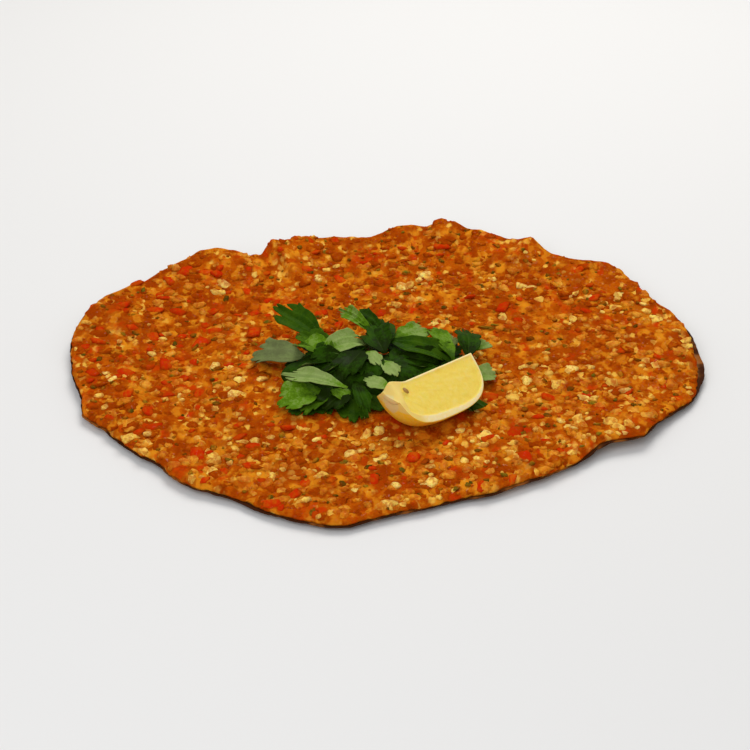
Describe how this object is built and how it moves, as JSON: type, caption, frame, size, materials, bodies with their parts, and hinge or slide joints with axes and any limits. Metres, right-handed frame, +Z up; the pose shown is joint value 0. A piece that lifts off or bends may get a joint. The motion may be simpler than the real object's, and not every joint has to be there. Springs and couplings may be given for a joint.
{
  "type": "lahmacun",
  "caption": "Thin round flatbread spread to its curled rim with spiced minced meat, garnished with a heap of parsley leaves and a lemon wedge.",
  "frame": {"origin": "middle of the outline, on the flat underside that rests on the surface", "axes": "+Z up through the bread; +X and +Y lie in it, with the lemon wedge on the -Y side and to the right of the parsley"},
  "size_m": [0.3196, 0.3044, 0.029],
  "materials": {
    "dough": "dry baked dough, pale gold with browned and charred patches at the rim",
    "mince": "slightly oily orange-brown mince with onion, pepper and herb flecks",
    "leaf": "fresh parsley leaf, deep green above and paler below, with a soft sheen",
    "lemon": "juicy yellow flesh, white pith and waxy yellow rind"
  },
  "bodies": {
    "root": {"flatbread": "dough", "meat_spread": "mince", "parsley": "leaf", "lemon_wedge": "lemon"}
  },
  "joints": []
}
